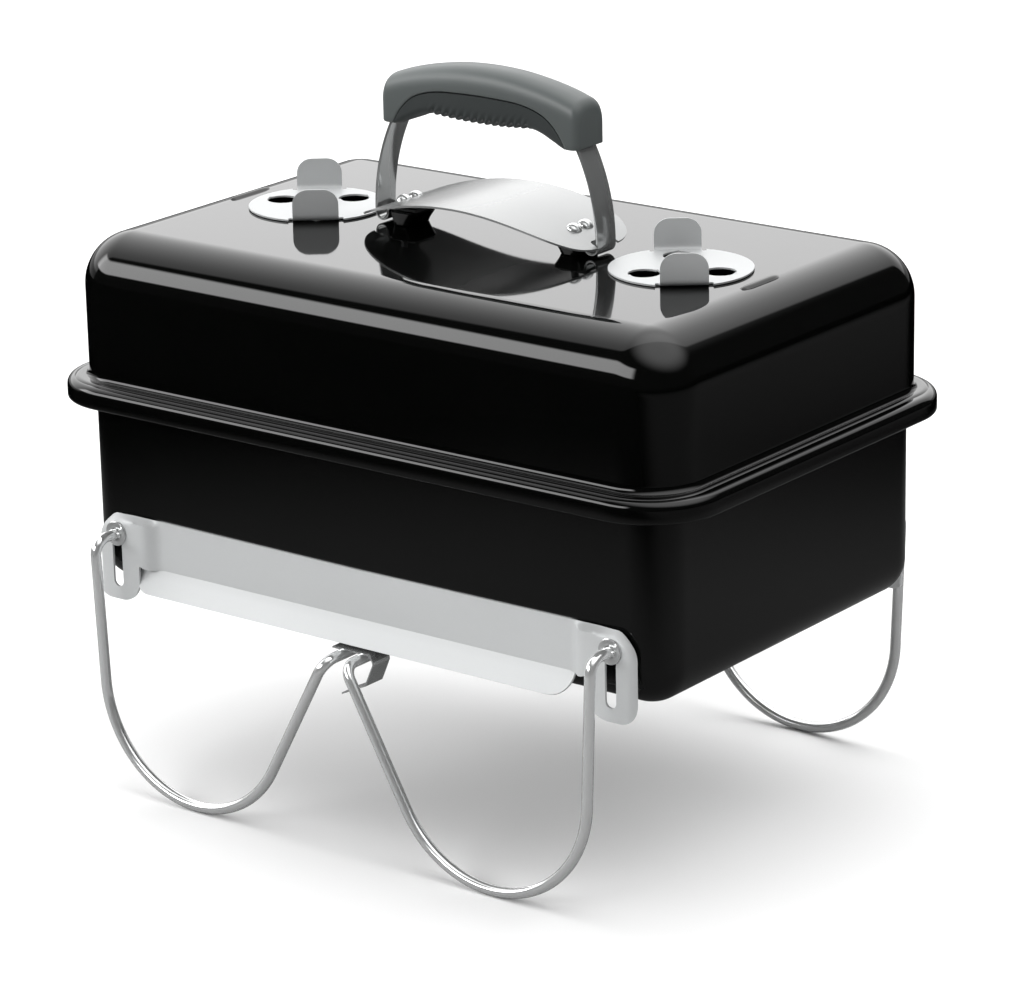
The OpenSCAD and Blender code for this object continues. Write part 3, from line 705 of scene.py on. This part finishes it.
def grip_cover():
    """Upper moulding: crowned along and across, with both ends turned down over the strap."""
    end, soft = 71.0, 5.0
    xs = list(np.linspace(0, end - soft, 60))
    xs += [end - soft + soft * math.sin(t) for t in np.linspace(0.12, math.pi / 2, 10)]
    xs = [-x for x in xs[:0:-1]] + xs
    rings = []
    for x in xs:
        over = max(0.0, (abs(x) - (end - soft)) / soft)
        inset = soft * (1 - math.sqrt(max(0.0, 1 - over * over)))
        low = table(PARTING, x) if abs(x) < 61.8 else 391.7
        w = 13.5 - inset * 0.8
        high = table(GRIP_TOP, x) - inset * 0.9
        low += inset * 0.25 if abs(x) > 62 else 0
        start = high - 13.5 + 0.02 * abs(x)
        ring = []
        for t in np.linspace(0, 1, 6):
            ring.append((x, -w, low + 0.7 + (start - low - 0.7) * t))
        for t in np.linspace(0, math.pi, 33)[1:-1]:
            c, s = math.cos(t), math.sin(t)
            ring.append((x, -w * math.copysign(abs(c) ** (2 / 2.7), c), start + (high - start) * abs(s) ** (2 / 2.3)))
        for t in np.linspace(1, 0, 6):
            ring.append((x, w, low + 0.7 + (start - low - 0.7) * t))
        ring += [(x, w - 0.25, low + 0.2), (x, w - 0.8, low), (x, 0, low)]
        ring += [(x, -(w - 0.8), low), (x, -(w - 0.25), low + 0.2)]
        rings.append(ring)
    verts, faces = skin(rings, closed=False, caps=True)
    build("grip_cover_moulding", verts, faces, "lid", "grip_cover", ("handle_grip_cover",), sharp=60, clean=0.0005)


def grip_insert():
    """Lower moulding, with slanting ribs under the fingers."""
    xs = np.linspace(-61.4, 61.4, 330)
    rings = []
    for x in xs:
        top, low = table(PARTING, x), table(UNDERSIDE, x)
        if top - low < 1.2:
            top = low + 1.2
        w = 13.2
        fade = (1 - smooth_step(abs(x), 32, 38)) * 1.0
        ring = []
        soft = min(4.5, (top - low) * 0.45)

        def point(y, z):
            depth = 1 - smooth_step(z - low, 1.0, 9.0)
            wave = 0.5 - 0.5 * math.cos(2 * math.pi * (x - 0.75 * (z - low) - 0.12 * y) / 5.2)
            cut = 2.0 * fade * depth * wave ** 1.5
            k = abs(y) / w
            return (x, y * (1 - 0.06 * cut * k), z + cut * (1 - smooth_step(z - low, 0, 5)))

        ring.append((x, -(w - 1.7), top + 0.5))
        ring.append((x, -(w - 1.5), top - 0.6))
        for t in np.linspace(0, 1, 9):
            ring.append(point(-w, top - 0.7 + (low + soft - top + 0.7) * t))
        for t in np.linspace(180, 270, 9)[1:]:
            q = math.radians(t)
            ring.append(point(-(w - soft) + soft * math.cos(q), low + soft + soft * math.sin(q)))
        for y in np.linspace(-(w - soft), w - soft, 9)[1:-1]:
            ring.append(point(y, low))
        for t in np.linspace(270, 360, 9)[:-1]:
            q = math.radians(t)
            ring.append(point((w - soft) + soft * math.cos(q), low + soft + soft * math.sin(q)))
        for t in np.linspace(1, 0, 9):
            ring.append(point(w, top - 0.7 + (low + soft - top + 0.7) * t))
        ring.append((x, w - 1.5, top - 0.6))
        ring.append((x, w - 1.7, top + 0.5))
        rings.append(ring)
    verts, faces = skin(rings, closed=False, caps=True)
    build("grip_insert_moulding", verts, faces, "lid", "grip_insert", ("handle_grip_insert",), sharp=70, clean=0.0005)


# ---------------------------------------------------------------- legs and brackets

def half_leg_path():
    """Right half of the front leg's wire, from its end behind the bracket to the tongue under the bowl."""
    foot = Vector((108.9, WIRE + FOOT_R))
    out_z = PIVOT_Z - BEND
    d = math.hypot(PIVOT_X - foot.x, out_z - foot.y)
    out_at = math.degrees(math.atan2(out_z - foot.y, PIVOT_X - foot.x)) - math.degrees(math.acos(FOOT_R / d))
    slope = math.radians(57.6)
    ix, iz = TONGUE_X + BEND * math.cos(slope), TONGUE_Z - BEND * math.sin(slope)
    d = math.hypot(ix - foot.x, iz - foot.y)
    in_at = math.degrees(math.atan2(iz - foot.y, ix - foot.x)) + math.degrees(math.acos(FOOT_R / d))
    path = [(PIVOT_X, y, PIVOT_Z) for y in (-132.2, -136, -141)]
    path += [(PIVOT_X, y, z) for y, z in arc(-(LEG_Y - BEND), PIVOT_Z - BEND, BEND, 90, 180, 12)]
    loop = [(x, -LEG_Y, z) for x, z in arc(foot.x, foot.y, FOOT_R, out_at, in_at - 360, 64)]
    first = Vector(path[-1])
    for share in (0.25, 0.5, 0.75):
        path.append(tuple(first.lerp(Vector(loop[0]), share)))
    path += loop
    top = Vector((ix, -LEG_Y, iz))
    for share in (0.25, 0.5, 0.75):
        path.append(tuple(Vector(loop[-1]).lerp(top, share)))
    up = Vector((-math.cos(slope), 0, math.sin(slope)))
    centre = top + Vector((0, BEND, 0))
    for t in np.linspace(0, math.pi / 2, 12):
        path.append(tuple(centre + Vector((0, -BEND, 0)) * math.cos(t) + up * BEND * math.sin(t)))
    return path + [(TONGUE_X, -125, TONGUE_Z), (TONGUE_X, -114, TONGUE_Z)]


def leg(side_turn, body, name, node):
    """The whole wire, with the pressed stops that hold its washers."""
    right = half_leg_path()
    turn = [(TONGUE_X * math.cos(t), -112 + TONGUE_X * math.sin(t), TONGUE_Z) for t in np.linspace(0, math.pi, 17)]
    path = right + turn + [(-x, y, z) for x, y, z in right[::-1]]
    parts = [tube(path, WIRE, 24)]
    for side in (-1, 1):
        knob = revolve([(0.01, 0), (4.6, 0), (5, 0.4), (5, 1.6), (4.4, 2.1), (0.01, 2.1)], 28)
        parts.append(([(PIVOT_X * side + x, -131.6 - h, PIVOT_Z + y) for x, y, h in knob[0]], knob[1]))
        for wing in (-1, 1):
            rings = []
            for t in np.linspace(0, math.pi, 9):
                x = PIVOT_X * side + wing * (2.2 + 2.6 * math.sin(t / 2) ** 0.8)
                k = max(0.05, math.cos(t / 2)) ** 0.6
                rings.append([(x, -139 + 0.95 * k * math.cos(q), PIVOT_Z + 1.9 * k * math.sin(q))
                              for q in np.linspace(0, 2 * math.pi, 12, endpoint=False)])
            parts.append(skin(rings, closed=False, caps=True))
    verts, faces = join(parts)
    build(name, turn_about_z(verts, side_turn), faces, body, "plated_wire", (node,), sharp=50, clean=0.0005)


def washers(side_turn, body, name, node):
    """Push-on washers either side of the ear, with a raised hub."""
    hub = [(3.25, 0), (7.1, 0), (7.5, 0.25), (7.5, 0.75), (7.1, 1.05)]
    hub += [(5.6, 1.1), (4.9, 1.35), (4.1, 1.2), (3.5, 1.2)]
    parts = []
    for side in (-1, 1):
        for y, way in ((-136.8, -1), (-135.1, 1)):
            v, f = revolve(hub, 44)
            parts.append(([(PIVOT_X * side + a, y + way * h, PIVOT_Z + way * b) for a, b, h in v], f))
    verts, faces = join(parts)
    build(name, turn_about_z(verts, side_turn), faces, body, "fasteners", (node,), sharp=35)


def bracket(side_turn, name, node):
    """Pressed sheet: flat plate, an embossed slotted ear at each end and a lip flared along the lower edge."""
    right = [(0, 164), (197.8, 165.2), (197.8, 112.8), (163.5, 112.8), (163.5, 136.2), (157, 134.3), (0, 134.3)]
    right = round_corners(right, (0, 16, 12, 14, 0.6, 0.6, 0), 12)
    outline = right + [(-x, z) for x, z in right[::-1]][1:-1]
    slots, slot_r = [], 3.7
    for side in (-1, 1):
        ring = arc(PIVOT_X, PIVOT_Z, slot_r, 0, 180, 10) + arc(PIVOT_X, 124.4, slot_r, 180, 360, 10)
        slots.append([(side * x, z) for x, z in (ring if side > 0 else ring[::-1])])
    corner_x, corner_z, roll_start, roll_r = 181.6, 149, 9.3, 4.1
    rows = [(x, z) for x in np.arange(148, 179, 2.2) for z in (162.0, 162.9, 163.7)]
    for r in (roll_start, 10.6, 11.9, 13.2, 14.5):
        rows += [(corner_x + r, z) for z in np.arange(127, 149, 2.4)]
        rows += [(corner_x + r * math.cos(t), corner_z + r * math.sin(t)) for t in np.linspace(0, math.pi / 2, 9)]
    rows += [(-x, z) for x, z in rows]
    flat, faces = fill(stepped(outline, 2.6), slots, step=2.6, extra=rows)

    def plate(x, z):
        """From the flat blank to the ear stood forward of the plate, with its outer edge rolled back."""
        side, u = math.copysign(1, x), abs(x)
        deep = EAR_DEPTH * smooth_step(u, 150, 160.5)
        pressed = Vector((u, PLATE_Y + deep * (1 - smooth_step(z, 161.8, 164.8)), z))
        way = Vector((max(0.0, u - corner_x), max(0.0, z - corner_z)))
        reach = way.length
        if u > 168 and reach > roll_start:
            t = (reach - roll_start) / roll_r
            moved = way * ((roll_start + roll_r * math.sin(t)) / reach - 1)
            drop = moved.y * smooth_step(u, 182, 196)
            rolled = Vector((u + moved.x, PLATE_Y + deep - roll_r * (1 - math.cos(t)), z + drop))
            pressed = pressed.lerp(rolled, smooth_step(u, 168, 180))
        return side * pressed.x, -pressed.y, pressed.z

    verts = [plate(*p) for p in flat]
    lip_flat = round_corners([(-165.5, 0), (-165.5, 15.9), (152, 15.9), (152, 0)], (0, 9, 14.5, 0), 10)
    lip_flat, lip_faces = fill(stepped(lip_flat, 2.6), (), step=2.6)
    tilt, bend, fold_z = math.radians(29), 2.4, 134.8

    def lip(x, s):
        """A point s down the lip, past the bend that turns it forward."""
        t = min(s / bend, tilt)
        rest = max(0.0, s - bend * tilt)
        return (x, -PLATE_Y - bend * (1 - math.cos(t)) - rest * math.sin(tilt),
                fold_z - bend * math.sin(t) - rest * math.cos(tilt))

    lip_verts = [lip(*p) for p in lip_flat]
    lip_faces = [f[::-1] for f in lip_faces]
    verts, faces = join([(verts, faces), (lip_verts, lip_faces)])
    build(name, turn_about_z(verts, side_turn), faces, "firebox", "satin_aluminium", (node,), sharp=50,
          thickness=1.5, clean=0.001)


lid()
bowl()
damper("left_lid_disc", -LID_DAMPER_X, 330.4, TAB_TURN + 180, 18.6, False, "left_lid_damper", "left_lid_damper")
damper("right_lid_disc", LID_DAMPER_X, 330.4, TAB_TURN, 18.6, False, "right_lid_damper", "right_lid_damper")
damper("left_bottom_disc", -BOTTOM_DAMPER_X, 118.6, 0, 16, True, "left_bottom_damper", "left_bottom_damper")
damper("right_bottom_disc", BOTTOM_DAMPER_X, 118.6, 180, 16, True, "right_bottom_damper", "right_bottom_damper")
standoff(-1, "left_standoff")
standoff(1, "right_standoff")
heat_shield()
strap()
grip_cover()
grip_insert()
for half_turn, side_name in ((0, "front"), (180, "rear")):
    leg(half_turn, side_name + "_leg", side_name + "_leg_wire", side_name + "_leg")
    washers(half_turn, side_name + "_leg", side_name + "_leg_push_washers", side_name + "_leg_washers")
    bracket(half_turn, side_name + "_bracket_sheet", side_name + "_leg_bracket")


make_camera()
make_world()
make_floor()
scene.view_settings.view_transform = "Standard"
